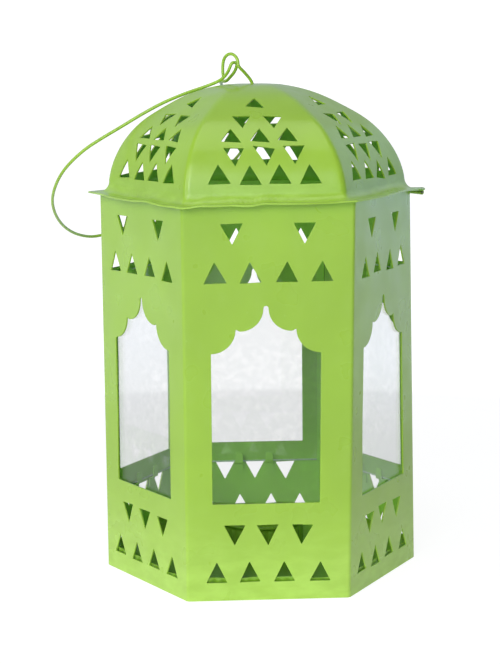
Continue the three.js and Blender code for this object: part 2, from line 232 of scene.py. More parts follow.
def thicken(sheet, place, thickness):
    """Closed shell from a CutSheet. place(points, depth) gives 3-D places of points under its face."""
    outer = place(sheet.points, 0.0)
    inner = place(sheet.points, thickness)
    top = face_normals(outer, sheet.faces)
    bottom = face_normals(inner, sheet.faces[:, ::-1])
    verts = [outer, inner]
    normals = [top, bottom]
    count = len(sheet.points)
    faces = [list(f) for f in sheet.faces]
    faces += [[f[2] + count, f[1] + count, f[0] + count] for f in sheet.faces]
    total = 2 * count
    half = math.sqrt(0.5)
    r = sheet.edge_round
    near, far = (1 - half) * r, thickness - (1 - half) * r
    rings = [(1 - half, near, half), (0, r, 0), (0, thickness - r, 0), (1 - half, far, -half)]
    for loop, edge, rim in zip(sheet.loops, sheet.edges, sheet.rims):
        size = len(loop)
        previous = loop
        outward = (signed_area(edge) > 0) == (edge is sheet.edges[0])
        for share, depth, tilt in rings:
            ring = place(edge + (rim - edge) * share, depth)
            side = unit(place(edge, depth) - place(rim, depth))
            flat = top[loop] if tilt >= 0 else bottom[loop]
            verts.append(ring)
            normals.append(abs(tilt) * flat + math.sqrt(1 - tilt * tilt) * side)
            current = list(range(total, total + size))
            faces += bridge(previous, current, outward)
            previous = current
            total += size
        faces += bridge(previous, [i + count for i in loop], outward)
    return np.concatenate(verts), faces, np.concatenate(normals)


def bridge(first, second, outward):
    """Quads between two rings of the same length."""
    quads = []
    for i in range(len(first)):
        j = (i + 1) % len(first)
        quad = [first[i], second[i], second[j], first[j]]
        quads.append(quad if outward else quad[::-1])
    return quads


def tube(rings, sides, first=0):
    """Quads between rings of vertices that follow each other from the first index on."""
    faces = []
    for start in range(first, first + (rings - 1) * sides, sides):
        for i in range(sides):
            j = (i + 1) % sides
            faces.append([start + i, start + j, start + sides + j, start + sides + i])
    return faces


def rod(rings, sides):
    """A tube with closed ends."""
    last = (rings - 1) * sides
    return tube(rings, sides) + [list(range(sides))[::-1], list(range(last, last + sides))]


def new_piece(name, verts, faces, material, body, replaced=(), normals=None):
    """Mesh object from places in millimetres, which moves with a CAD body and stands for its nodes."""
    mesh = bpy.data.meshes.new(name)
    mesh.from_pydata((np.asarray(verts) * MM).tolist(), [], [list(map(int, f)) for f in faces])
    mesh.polygons.foreach_set("use_smooth", [True] * len(mesh.polygons))
    if normals is not None:
        mesh.normals_split_custom_set_from_vertices(unit(normals).tolist())
    mesh.materials.append(material)
    piece = bpy.data.objects.new(name, mesh)
    bpy.context.scene.collection.objects.link(piece)
    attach(piece, body)
    if replaced:
        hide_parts(*replaced)
    return piece


def sharpen(piece, angle=40):
    """Sharp edges where the mesh turns by more than the angle."""
    piece.data.set_sharp_from_angle(angle=math.radians(angle))


def paint_shaded_side(piece, sheet, material):
    """Puts another paint on the under side of a thickened sheet: a painted shade colour for its shaded
    inside.
    """
    piece.data.materials.append(material)
    count = len(sheet.faces)
    for face in piece.data.polygons[count:2 * count]:
        face.material_index = 1


# --- Hexagonal places ---

def hex_frame(wall):
    """Unit vectors along and out of each wall."""
    turn = np.radians(60.0) * np.asarray(wall, float)
    zero = np.zeros_like(turn)
    along = np.stack([np.cos(turn), np.sin(turn), zero], -1)
    out = np.stack([np.sin(turn), -np.cos(turn), zero], -1)
    return along, out


def hex_place(wall, u, half_side, radius, depth):
    """Place on a hexagonal ring with rounded corners, and its level outward normal."""
    along, out = hex_frame(wall)
    reach = radius * TAN30
    straight = half_side - reach
    turn = np.radians(30.0) * np.clip((np.abs(u) - straight) / reach, 0, 1) * np.sign(u)
    normal = np.cos(turn)[:, None] * out + np.sin(turn)[:, None] * along
    centre = (half_side / TAN30 - radius)[:, None] * out
    centre = centre + np.clip(u, -straight, straight)[:, None] * along
    return centre + (radius - depth)[:, None] * normal, normal


def split_plane(points):
    """Wall, distance out and share along the wall's half side of points in the plane."""
    azimuth = np.degrees(np.arctan2(points[:, 1], points[:, 0]))
    wall = np.round((azimuth + 90) / 60) % 6
    along, out = hex_frame(wall)
    distance, lateral = (np.sum(points[:, :2] * axis[:, :2], 1) for axis in (out, along))
    share = lateral / np.maximum(distance * TAN30, 1e-9)
    return wall.astype(int), distance, np.clip(share, -1, 1)


def warp(points):
    """The unevenness of the folded body, which its glass, clips and tray follow."""
    wall, distance, share = split_plane(points)
    height = points[:, 2] / BODY_HEIGHT
    top, bottom = np.array(CORNER_OFFSETS_TOP), np.array(CORNER_OFFSETS_BOTTOM)
    at_corner = lambda i: bottom[i % 6] + (top[i % 6] - bottom[i % 6]) * height
    blend = (share + 1) / 2
    shift = (1 - blend) * at_corner(wall) + blend * at_corner(wall + 1)
    moved = points.copy()
    moved[:, 0] += shift * np.clip(distance / APOTHEM, 0, 1)
    return moved


# --- Materials ---

class Nodes:
    """Short calls for building a node tree. Sizes are in millimetres."""

    def __init__(self, tree, output="ShaderNodeOutputMaterial"):
        self.tree = tree
        tree.nodes.clear()
        self.output = self.add(output)
        self.coordinates = self.add("ShaderNodeTexCoord").outputs

    def add(self, kind, inputs=None, **settings):
        """New node. Each of its inputs gets a constant, or a link from another node's output."""
        node = self.tree.nodes.new(kind)
        for name, value in settings.items():
            setattr(node, name, value)
        for name, value in (inputs or {}).items():
            self.feed(node.inputs[name], value)
        return node

    def feed(self, socket, value):
        if isinstance(value, bpy.types.NodeSocket):
            self.tree.links.new(value, socket)
        elif socket.type == "RGBA":
            socket.default_value = (*value, 1)
        else:
            socket.default_value = value

    def surface(self, shader):
        self.feed(self.output.inputs["Surface"], shader)

    def principled(self, inputs):
        return self.add("ShaderNodeBsdfPrincipled", inputs).outputs["BSDF"]

    def ray(self, kind):
        return self.add("ShaderNodeLightPath").outputs[kind]

    def axis(self, vector, name):
        return self.add("ShaderNodeSeparateXYZ", {"Vector": vector}).outputs[name]

    def scaled(self, size, stretch=(1, 1, 1)):
        """Places in the piece, counted in features of the given size."""
        scale = [1 / (size * MM * s) for s in stretch]
        inputs = {"Vector": self.coordinates["Object"], "Scale": scale}
        return self.add("ShaderNodeMapping", inputs).outputs["Vector"]

    def noise(self, size, detail=2.0, stretch=(1, 1, 1)):
        """Noise whose features are about the given size, from 0 to 1."""
        inputs = {"Vector": self.scaled(size, stretch), "Scale": 1.0, "Detail": detail, "Roughness": 0.5}
        return self.add("ShaderNodeTexNoise", inputs).outputs["Fac"]

    def dots(self, spacing):
        """Distance to the nearest of some scattered points."""
        inputs = {"Vector": self.scaled(spacing), "Scale": 1.0}
        return self.add("ShaderNodeTexVoronoi", inputs).outputs["Distance"]

    def range(self, value, low, high, to_low=0.0, to_high=1.0):
        inputs = {"Value": value, "From Min": low, "From Max": high, "To Min": to_low, "To Max": to_high}
        return self.add("ShaderNodeMapRange", inputs, interpolation_type="SMOOTHSTEP").outputs["Result"]

    def math(self, kind, a, b):
        node = self.add("ShaderNodeMath", operation=kind)
        self.feed(node.inputs[0], a)
        self.feed(node.inputs[1], b)
        return node.outputs[0]

    def mix(self, share, a, b):
        """Colour between two others."""
        node = self.add("ShaderNodeMix", {"Factor": share}, data_type="RGBA")
        sockets = [s for s in node.inputs if s.type == "RGBA"]
        self.feed(sockets[0], a)
        self.feed(sockets[1], b)
        return next(s for s in node.outputs if s.type == "RGBA")

    def mix_shaders(self, share, a, b):
        node = self.add("ShaderNodeMixShader")
        for socket, value in zip(node.inputs, (share, a, b)):
            self.feed(socket, value)
        return node.outputs[0]

    def bump(self, height, strength, distance, normal=None):
        inputs = {"Height": height, "Strength": strength, "Distance": distance * MM}
        if normal is not None:
            inputs["Normal"] = normal
        return self.add("ShaderNodeBump", inputs).outputs["Normal"]


def new_material(name, build, *values, **options):
    """Material whose shader is built by build(nodes, ...)."""
    material = bpy.data.materials.new(name)
    material.use_nodes = True
    n = Nodes(material.node_tree)
    n.surface(build(n, *values, **options))
    return material


def shade(colour, factor):
    return tuple(min(1.0, c * factor) for c in colour)


DUST = (0.75, 0.95, 0.45)
BARE_WIRE = (0.16, 0.2, 0.1)


def powder_paint(n, colour, roughness=0.3, peel=0.25, bare=0.0, streaks=0.0, haze=None):
    """Glossy powder coat: soft blotches, orange peel, a few nibs, and roughness that wanders.

    The dust and sheen gives the height where pale patches are full, the height where they end, and
    their least and greatest share; the patches are painted reflection over a little dust.
    """
    paler = tuple(c + 0.12 * (dust - c) for c, dust in zip(colour, DUST))
    base = n.mix(n.range(n.noise(38), 0.3, 0.7), shade(colour, 0.95), shade(colour, 1.04))
    base = n.mix(n.range(n.noise(11, 3.0, (1, 1, 1.6)), 0.45, 0.85, 0, 0.3), base, paler)
    nib = n.range(n.dots(9), 0.03, 0.07, 1, 0)
    base = n.mix(n.math("MULTIPLY", nib, 0.5), base, paler)
    if haze is not None:
        full_z, none_z, least, most = haze
        # Painted reflection: pale patches, lighter towards the bottom, stand in for light from the floor,
        # over a little dust
        low = n.range(n.axis(n.coordinates["Object"], "Z"), full_z * MM, none_z * MM, 1.0, 0.0)
        dusty_sheen = n.range(n.noise(7, 3.0, (1.6, 1.6, 0.7)), 0.3, 0.75, least, most)
        base = n.mix(n.math("MULTIPLY", low, dusty_sheen), base, shade(paler, 1.22))
    if bare > 0:
        base = n.mix(n.range(n.noise(2.2, 4.0), 0.66, 0.72, 0, bare), base, BARE_WIRE)
    normal = n.bump(n.noise(1.5), peel, 0.05)
    normal = n.bump(n.noise(7, 1.5), 0.3, 0.12, normal)
    normal = n.bump(nib, 0.15, 0.05, normal)
    if streaks > 0:
        normal = n.bump(n.noise(1.6, 2.0, (1, 1, 14)), streaks, 0.12, normal)
    return n.principled({
        "Base Color": base,
        "Roughness": n.range(n.noise(16), 0.25, 0.75, roughness - 0.05, roughness + 0.09),
        "Normal": normal,
        "IOR": 1.5,
        "Coat Weight": 0.35,
        "Coat Roughness": 0.12,
    })


def sheet_glass(n):
    """Clear float glass that lamps shine through, with a faint film of dust and paint mist."""
    film = n.range(n.noise(3.4, 3.0), 0.5, 0.6)
    film = n.math("MULTIPLY", film, n.range(n.noise(26, 1.0), 0.35, 0.6))
    glass = n.principled({
        "Base Color": n.mix(film, (0.895, 0.9, 0.9), (0.945, 0.945, 0.945)),
        "Roughness": 0.02,
        "IOR": 1.45,
        "Transmission Weight": 1.0,
        "Normal": n.bump(n.noise(24, 1.0), 0.15, 0.1),
    })
    lamps = n.add("ShaderNodeBsdfTransparent", {"Color": (0.97, 0.98, 0.97)}).outputs["BSDF"]
    either = n.math("MAXIMUM", n.ray("Is Shadow Ray"), n.ray("Is Diffuse Ray"))
    return n.mix_shaders(either, glass, lamps)


def ground_glass(n):
    """Pale, rough edge of cut glass."""
    grain = n.range(n.noise(0.7, 3.0), 0.35, 0.65)
    return n.principled({
        "Base Color": n.mix(grain, (0.52, 0.68, 0.55), (0.8, 0.9, 0.82)),
        "Roughness": 0.45,
        "Normal": n.bump(n.noise(0.5), 0.4, 0.05),
    })


def drawn_steel(n):
    """Bright wire with stains of paint."""
    stain = n.range(n.noise(1.6, 3.0), 0.4, 0.7)
    return n.principled({
        "Base Color": n.mix(stain, (0.42, 0.44, 0.4), (0.24, 0.3, 0.16)),
        "Metallic": 0.85,
        "Roughness": n.range(n.noise(0.6), 0.3, 0.7, 0.3, 0.5),
        "Normal": n.bump(n.noise(0.3, 2.0, (1, 1, 6)), 0.3, 0.02),
    })


GREEN = (0.365, 0.610, 0.052)
# Painted shade: the tray and cup get a darker green than the outside, for the shade inside the lantern
SHADE_DARK_GREEN = (0.235, 0.47, 0.022)
# Painted shade colour: the shaded insides of the walls, and the clips, get a brighter, bluer green than the
# outside, for the cool light in the shade
SHADE_TINT_GREEN = (0.38, 0.78, 0.098)
# Painted shade colour: the dome's shaded inside gets a deeper, more saturated green than its outside
DOME_SHADE_GREEN = (0.235, 0.6, 0.045)
# The body's pale patches, lighter towards its bottom, are painted reflection over a little dust
BODY_PAINT = new_material("body_powder_paint", powder_paint, GREEN, haze=(0, 50, 0.45, 1.0))
DOME_GREEN = shade(GREEN, 0.98)
# Pale patches on the dome's cove and lip are painted reflection over a little dust
DOME_DUST_AND_SHEEN = (184, 191, 0.0, 0.6)
DOME_PAINT = new_material(
    "dome_powder_paint", powder_paint, DOME_GREEN, 0.32, 0.3, streaks=0.55, haze=DOME_DUST_AND_SHEEN
)
# Painted shade: darker paint for the tray and cup, which stand in the lantern's shade
INNER_SHADE_PAINT = new_material("inner_shade_powder_paint", powder_paint, SHADE_DARK_GREEN, 0.45, 0.3)
# Painted shade colour for the walls' insides and the clips
INSIDE_SHADE_PAINT = new_material("inside_shade_powder_paint", powder_paint, SHADE_TINT_GREEN, 0.42)
DOME_INSIDE_SHADE = new_material("dome_inside_shade_powder_paint", powder_paint, DOME_SHADE_GREEN, 0.45)
WIRE_PAINT = new_material("wire_powder_paint", powder_paint, GREEN, 0.34, 0.4, bare=0.5)
GLASS = new_material("sheet_glass", sheet_glass)
GLASS_EDGE = new_material("ground_glass_edge", ground_glass)
STEEL = new_material("drawn_steel", drawn_steel)


# --- Body: two folded sheets ---

def arc(centre_x, centre_y, radius, start, end, steps=8):
    """Points of an arc, angles in degrees."""
    angles = np.radians(np.linspace(start, end, steps + 1))
    return [(centre_x + radius * math.cos(a), centre_y + radius * math.sin(a)) for a in angles]


def triangle(width, height, up, x=0.0, y=0.0, turn=0.0):
    """Outline of a triangular hole about its centroid."""
    base, tip = -height / 3, 2 * height / 3
    corners = np.array([(-width / 2, base), (width / 2, base), (0, tip)]) * (1, 1 if up else -1)
    c, s = math.cos(turn), math.sin(turn)
    return corners @ np.array([[c, s], [-s, c]]) + (x, y)


def window():
    """Pointed window with two scallops on each side."""
    tip = UPPER_SCALLOP[0] - UPPER_SCALLOP[2]
    right = [(WINDOW_HALF_WIDTH, SILL_Z)]
    right += arc(*LOWER_SCALLOP, -90, -180)
    right += arc(*UPPER_SCALLOP, -90, -180)
    right += arc(0, UPPER_SCALLOP[1], tip, 0, 90, 3)[1:]
    left = [(-x, y) for x, y in reversed(right[:-1])]
    return np.array(right + left)


# How far the cuts wander, on the front wall and on the others
FRONT_DRIFT = 0.15
DRIFT = 0.35

# How far the cuts of a wall stand off their places: its window along the wall, its holes along and
# up. The lower and upper clips of its pane follow the holes.
CUTS_OFF = {0: (-1.1, 0, 0), 2: (-3.8, -4.2, 0), 3: (-1.6, -0.4, 0), 4: (0, 1.6, -1.2)}


def wall_holes(wall, rng):
    """Window and triangles of one wall, cut by hand: places, sizes and angles wander a little."""
    drift = FRONT_DRIFT if wall == 0 else DRIFT
    window_off, along_off, up_off = CUTS_OFF.get(wall, (0, 0, 0))
    off = (window_off + rng.gauss(0, drift), rng.gauss(0, drift))
    holes = [fillet(window() + off, CORNER_ROUND)]
    for z, up, places in (BACK_ROWS if wall == 3 else WALL_ROWS):
        for u in places:
            width = HOLE_WIDTH * rng.uniform(0.97, 1.03)
            height = HOLE_HEIGHT * rng.uniform(0.97, 1.03)
            x, y = u + along_off + rng.gauss(0, drift), z + up_off + rng.gauss(0, drift)
            hole = triangle(width, height, up, x, y, math.radians(rng.gauss(0, 1.0)))
            holes.append(fillet(hole, CORNER_ROUND))
    return holes


def ripple(x, y, waves):
    """Soft unevenness of hand-worked sheet: a sum of a few sine waves."""
    total = np.zeros_like(x)
    for size, wave_x, wave_y, phase in waves:
        total += size * np.sin(x * wave_x + y * wave_y + phase)
    return total


# Each wave: size, radians per millimetre along and up, phase
WALL_WAVES = [
    (0.10, 0.071, 0.024, 0.4), (0.08, -0.043, 0.058, 1.9),
    (0.05, 0.127, 0.093, 3.1), (0.03, 0.21, -0.17, 0.7),
]

# Sheet dished round each punched hole, and how near its edges and folds stay flat
DISH_DEPTH = 0.10
DISH_REACH = 6.5
FLAT_BY_EDGE = 15
FLAT_BY_FOLD = 12

# The top edge follows the lip's waves from this height on, and is lifted to touch the lip
TOP_EDGE_START = 176
TOP_EDGE_LIFT = 0.62

# How far the lip's edge stands above level, at places counted in walls from the front left corner
LIP_RISE = [
    (0, 0.3), (0.03, -0.25), (0.08, -0.1), (0.12, 0.7), (0.22, 0.5), (0.31, 0.75), (0.41, 0.3), (0.45, 0.7),
    (0.475, 1.4), (0.58, 1.1), (0.7, 1.0), (0.85, 1.2), (0.98, 1.9), (1.15, 1.6), (1.35, 1.5), (1.66, 2.1),
    (1.88, 2.1), (1.97, 1.6), (2.03, 0.1), (2.97, 0.1), (3.12, 0.9), (3.3, 1.3), (3.55, 1.0), (3.8, 1.5),
    (4, 1.3), (4.25, 0.9), (4.4, 1.3), (4.7, 1.1), (5, 1.75), (5.14, 1.5), (5.26, 0.7), (5.42, 0.4),
    (5.55, 0.45), (5.66, 1.1), (5.73, 0.7), (5.84, 0.15), (6, 0.3),
]


def lip_rise(around):
    places, rises = np.array(LIP_RISE).T
    soft = np.linspace(-0.018, 0.018, 5)
    return np.mean([np.interp((around + shift) % 6, places, rises) for shift in soft], axis=0)


def wrap_place(first, holes):
    """Places on a sheet folded over three walls; x of its points runs along all three."""
    centres = np.array([hole.mean(0) for hole in holes if np.ptp(hole[:, 0]) < 2 * HOLE_WIDTH])

    def place(points, depth):
        x, z = points[:, 0], points[:, 1]
        part = np.clip(np.round(x / SIDE), -1, 1)
        u = x - part * SIDE
        spread = np.linalg.norm(points[:, None] - centres, axis=2)
        dish = -DISH_DEPTH * np.exp(-(spread / DISH_REACH) ** 2).sum(1)
        free = ramp(SIDE / 2 - np.abs(u), 0, FLAT_BY_FOLD)
        free = free * ramp(z, 0, FLAT_BY_EDGE) * ramp(BODY_HEIGHT - z, 0, FLAT_BY_EDGE)
        deep = depth - (ripple(x, z, WALL_WAVES) + dish) * free
        wall = first + 1 + part
        half, radius = np.full(len(x), SIDE / 2), np.full(len(x), FOLD_RADIUS)
        places, _ = hex_place(wall, u, half, radius, deep)
        lift = lip_rise((wall + u / SIDE + 0.5) % 6) + TOP_EDGE_LIFT
        places[:, 2] = z + ramp(z, TOP_EDGE_START, BODY_HEIGHT) * lift
        return warp(places)

    return place


def columns(half_side, radius, step, fold_steps):
    """Places across one wall, closer together round its corners."""
    straight = half_side - radius * TAN30
    middle = np.linspace(-straight, straight, int(2 * straight / step) + 1)
    fold = np.linspace(straight, half_side, fold_steps + 1)[1:]
    return np.concatenate([-fold[::-1], middle, fold])


def wrap(name, first, seed):
    """One sheet folded over the first wall and the two after it."""
    rng = random.Random(seed)
    end = 1.5 * SIDE - SEAM / 2
    outline = [(-end, 0), (end, 0), (end, BODY_HEIGHT), (-end, BODY_HEIGHT)]
    across = columns(SIDE / 2, FOLD_RADIUS, GRID_STEP, FOLD_STEPS)
    heights = np.linspace(0, BODY_HEIGHT, round(BODY_HEIGHT / GRID_STEP) + 1)
    xs = across[:1] - SIDE
    holes = []
    for part in (-1, 0, 1):
        holes += [hole + (part * SIDE, 0) for hole in wall_holes((first + 1 + part) % 6, rng)]
        xs = np.append(xs, across[1:] + part * SIDE)
    grid = np.array([(x, z) for x in xs for z in heights])
    sheet = CutSheet(outline, holes, grid, CLEARANCE)
    verts, faces, normals = thicken(sheet, wrap_place(first, holes), SHEET)
    piece = new_piece(f"{name}_sheet", verts, faces, BODY_PAINT, "body", [name], normals)
    # The inside of the sheet gets the painted shade colour
    paint_shaded_side(piece, sheet, INSIDE_SHADE_PAINT)


wrap("front_wrap", -1, 11)
wrap("rear_wrap", 2, 23)


# --- Pressed hexagonal shells: the dome and the tray ---

class Shell:
    """Hexagonal shell pressed from one sheet, drawn in a plane where the distance out of each wall is
    the length along the profile. The profile is a list of (distance from the axis to a face, height).
    """

    def __init__(self, profile, rounding, rise=None, rise_span=(0.0, 1.0), skew=None):
        self.a, self.z = np.array(profile, float).T
        steps = np.hypot(np.diff(self.a), np.diff(self.z))
        self.v = np.concatenate([[0], np.cumsum(steps)])
        self.slope_a = np.gradient(self.a, self.v)
        self.slope_z = np.gradient(self.z, self.v)
        self.rounding, self.rise, self.skew = rounding, rise, skew
        self.rise_start, self.rise_end = rise_span
        self.length = self.v[-1]

    def half(self, v):
        return np.maximum(np.interp(v, self.v, self.a), 1e-4) * TAN30

    def radius(self, v):
        a = np.maximum(np.interp(v, self.v, self.a), 1e-4)
        return np.minimum(np.interp(v, *self.rounding), RIDGE_SHARPEN * a)

    def place(self, points, depth):
        wall, v, share = split_plane(points)
        places, level = hex_place(wall, share * self.half(v), self.half(v), self.radius(v), 0.0)
        places[:, 2] = np.interp(v, self.v, self.z)
        up = np.interp(v, self.v, self.slope_a)
        out = -np.interp(v, self.v, self.slope_z)
        normal = unit(out[:, None] * level + up[:, None] * np.array([0, 0, 1]))
        places -= normal * depth
        if self.rise is not None:
            part = ramp(v, self.rise_start, self.rise_end)
            around = (wall + (share + 1) / 2) % 6
            places[:, 2] += self.rise(around) * part * part * (3 - 2 * part)
        return self.skew(places) if self.skew else places

    def flat(self, wall, u, v):
        """Points of the drawing plane at distances v out of a wall and u along it in space."""
        along, out = hex_frame(wall)
        u, v = np.asarray(u, float), np.asarray(v, float)
        lateral = u / self.half(v) * v * TAN30
        return (lateral[:, None] * along + v[:, None] * out)[:, :2]

    def fill(self, rings, step, fold_steps):
        points = [np.zeros((1, 2))]
        for v in rings:
            half, radius = float(self.half(v)), float(self.radius(v))
            us = columns(half, radius, step, fold_steps)[1:]
            for wall in range(6):
                points.append(self.flat(wall, us, np.full(len(us), v)))
        return np.concatenate(points)

    def outline(self, notches=()):
        """Outer edge, with notches cut into it: (wall, from u, to u, depth)."""
        points = []
        for wall in range(6):
            half = float(self.half(self.length))
            path = [(-half, 0)]
            for notched, start, end, deep in notches:
                if notched == wall:
                    path += [(start, 0), (start, deep), (end, deep), (end, 0)]
            us, depths = np.array(path).T
            points.append(self.flat(wall, us, self.length - depths))
        return np.concatenate(points)


# Dome: corner radius and rise of its quarter circle, from its foot to a flattened crown
DOME_RADIUS = 71.4
DOME_SPRING_Z = 182
DOME_RISE = 51.2
CROWN_TOP = 232.35
# Soft hollow under the crown: height of its middle, spread, depth
DOME_HOLLOW = (223, 5.5, 1.5)
DOME_STEPS = 60
LIP_RADIUS = 80.5
LIP_TOP = 181.1
COVE_WIDTH = 4.0
COVE_ANGLE = 7
RIDGE_ROUND = 3.6
# Greatest radius of a ridge, as a share of the distance from the axis
RIDGE_SHARPEN = 0.3
LIP_ROUND = 0.8
CROWN_SKEW = 2.2
HOOK_HOLE_RADIUS = 1.3

# How far the dome's holes wander
DOME_DRIFT = 0.25

# Rows of holes of a dome face: height of the flat edge and of the point, width, places along the
# face, how far the row is off centre on the front face and on the back one, and how far it is up there
DOME_ROWS = [
    (223.3, 227.2, 8.4, (0.0,), -0.9, 0.0, 0.8),
    (219.4, 214.2, 8.6, (-6.7, 6.7), -1.2, -0.5, 0.3),
    (208.4, 214.0, 9.0, (-12.9, 0.0, 12.9), -1.1, -1.7, 2.6),
    (205.9, 197.9, 9.6, (-13.5, 0.0, 13.5), 0.7, 0.9, 1.3),
    (189.9, 198.4, 9.8, (-20.1, -6.5, 6.7, 20.1), 0.0, 1.1, 2.6),
]


def dome_profile():
    """Section of the dome, cove and lip, from the crown outwards."""
    middle, spread, dip = DOME_HOLLOW
    points = []
    for angle in np.radians(np.linspace(90, COVE_ANGLE, DOME_STEPS)):
        z = min(CROWN_TOP, DOME_SPRING_Z + DOME_RISE * math.sin(angle))
        radius = DOME_RADIUS * math.cos(angle)
        points.append(((radius - dip * math.exp(-((z - middle) / spread) ** 2)) * COS30, z))
    radius, z = points[-1][0] / COS30, points[-1][1]
    for angle in np.radians(np.linspace(0, 90, 9)[1:]):
        out = radius + COVE_WIDTH * (1 - math.cos(angle))
        points.append((out * COS30, z - (z - LIP_TOP) * math.sin(angle)))
    points += [(r * COS30, LIP_TOP) for r in np.linspace(radius + COVE_WIDTH, LIP_RADIUS, 5)[1:]]
    points[0] = (0.0, points[0][1])
    return points


def skew_crown(places):
    """The crown stands a little to the left of the walls' middle."""
    height = np.clip(places[:, 2] - DOME_SPRING_Z, 0, None) / 50
    moved = places.copy()
    moved[:, 0] -= CROWN_SKEW * height ** 1.5
    return moved


# Hinge on the back right wall
HINGE_WALL = 2
HINGE_OUT = 70.5
HINGE_Z = 179.7
BARREL_RADIUS = 1.2
HINGE_LENGTH = 78
KNUCKLES = 5
KNUCKLE_GAP = 0.4
# How much the lid's first knuckle and the pin fall short of the hinge's end
BARREL_SHORT = 2.2
KNUCKLE_TAIL = 1.2
LEAF_SHEET = 0.5
LEAF_BOTTOM = 173.9
LEAF_BEND = 1.2
LEAF_INNER_BEND = 0.6
LEAF_BLEND = 2
# Narrow band at the ends of knuckles and leaf, which keeps their shading even
END_BAND = 0.1
GAP = 0.3


def knuckle_span(i):
    """From where to where a knuckle runs along the wall."""
    pitch = HINGE_LENGTH / KNUCKLES
    start = -HINGE_LENGTH / 2 + i * pitch
    return start + KNUCKLE_GAP / 2, start + pitch - KNUCKLE_GAP / 2


def dome_holes(shell, rng):
    """Triangles of all six faces, each a little off its place."""
    top_to_v = lambda z: float(np.interp(-z, -shell.z[:DOME_STEPS], shell.v[:DOME_STEPS]))
    holes = []
    for wall in range(6):
        for edge, point, width, places, front_off, back_off, back_up in DOME_ROWS:
            for place in places:
                u = place + {0: front_off, 3: back_off}.get(wall, 0) + rng.gauss(0, DOME_DRIFT)
                lift = (back_up if wall == 3 else 0) + rng.gauss(0, DOME_DRIFT)
                grown = rng.uniform(0.97, 1.04)
                lean = rng.gauss(0, DOME_DRIFT)
                us = np.array([-grown * width / 2, grown * width / 2, lean]) + u
                zs = [edge + lift + lean, edge + lift - lean, point + lift]
                corners = shell.flat(wall, us, [top_to_v(z) for z in zs])
                holes.append(fillet(corners, CORNER_ROUND))
    return holes


def dome_lid():
    profile = dome_profile()
    cove_start = next(i for i, (_, z) in enumerate(profile) if z < LIP_TOP + 4.5)
    lengths = Shell(profile, ([0, 1], [1, 1])).v
    cove_v, flat_v, edge_v = lengths[cove_start], lengths[-5], lengths[-1]
    rounding = ([0, cove_v, flat_v, edge_v], [RIDGE_ROUND, RIDGE_ROUND, 2.5, LIP_ROUND])
    shell = Shell(profile, rounding, lip_rise, (cove_v - 3, flat_v), skew_crown)
    holes = dome_holes(shell, random.Random(5))
    holes.append(np.array(arc(0, 0, HOOK_HOLE_RADIUS, 0, 330, 11)))
    notch_deep = LIP_RADIUS * COS30 - (HINGE_OUT - BARREL_RADIUS - GAP)
    notches = []
    for i in range(1, KNUCKLES, 2):
        start, end = knuckle_span(i)
        notches.append((HINGE_WALL, start - KNUCKLE_GAP, end + KNUCKLE_GAP, notch_deep))
    outline = fillet(shell.outline(notches), 0.5)
    rings = np.concatenate([np.arange(2.2, cove_v, 2.0), np.linspace(cove_v, edge_v, 12)[:-1]])
    sheet = CutSheet(outline, holes, shell.fill(rings, 2.2, FOLD_STEPS), CLEARANCE)
    verts, faces, normals = thicken(sheet, shell.place, SHEET)
    piece = new_piece("dome_shell", verts, faces, DOME_PAINT, "lid", ["dome_lid"], normals)
    # The dome's inside gets the painted shade colour
    paint_shaded_side(piece, sheet, DOME_INSIDE_SHADE)


dome_lid()


def curl(tail, start_angle, end_angle):
    """Section of a rolled knuckle, as (out, height) pairs: the outside, then back along the inside."""
    bore = BARREL_RADIUS - LEAF_SHEET
    side = math.copysign(1, start_angle)
    outside = arc(HINGE_OUT, HINGE_Z, BARREL_RADIUS, start_angle, end_angle, 19)
    inside_back = arc(HINGE_OUT, HINGE_Z, bore, end_angle, start_angle, 19)
    ends = [(tail, HINGE_Z + side * BARREL_RADIUS)], [(tail, HINGE_Z + side * bore)]
    return ends[0] + outside + inside_back + ends[1]


def leaf_section(face):
    """Section of the leaf, as (out, height) pairs: up its outer side, then back down the inner one."""
    z = HINGE_Z - BARREL_RADIUS - LEAF_BEND
    inner = face + LEAF_SHEET
    outside = [(face, LEAF_BOTTOM)] + arc(face + LEAF_BEND, z + LEAF_SHEET, LEAF_BEND, 180, 90, 5)
    inside_back = arc(inner + LEAF_INNER_BEND, z, LEAF_INNER_BEND, 90, 180, 5) + [(inner, LEAF_BOTTOM)]
    return outside + inside_back


def join(*parts):
    """One mesh from several (verts, faces)."""
    verts, faces, total = [], [], 0
    for part_verts, part_faces in parts:
        verts.append(part_verts)
        faces += [[i + total for i in face] for face in part_faces]
        total += len(part_verts)
    return np.concatenate(verts), faces


def strip_solid(section, spans):
    """A section extruded along the hinge over each span.

    Its ends are closed by the strip between the section's two sides.
    """
    along, out = hex_frame(HINGE_WALL)
    count = len(section)
    parts = []
    for start, end in spans:
        stations = (start, start + END_BAND, end - END_BAND, end)
        verts = [out * o + along * u + (0, 0, z) for u in stations for o, z in section]
        faces = [quad[:1] + quad[:0:-1] for quad in tube(len(stations), count)]
        for base, order in ((0, 1), (3 * count, -1)):
            for i in range(count // 2 - 1):
                across = base + count - 1 - i
                faces.append([base + i, base + i + 1, across - 1, across][::order])
        parts.append((np.array(verts), faces))
    return join(*parts)


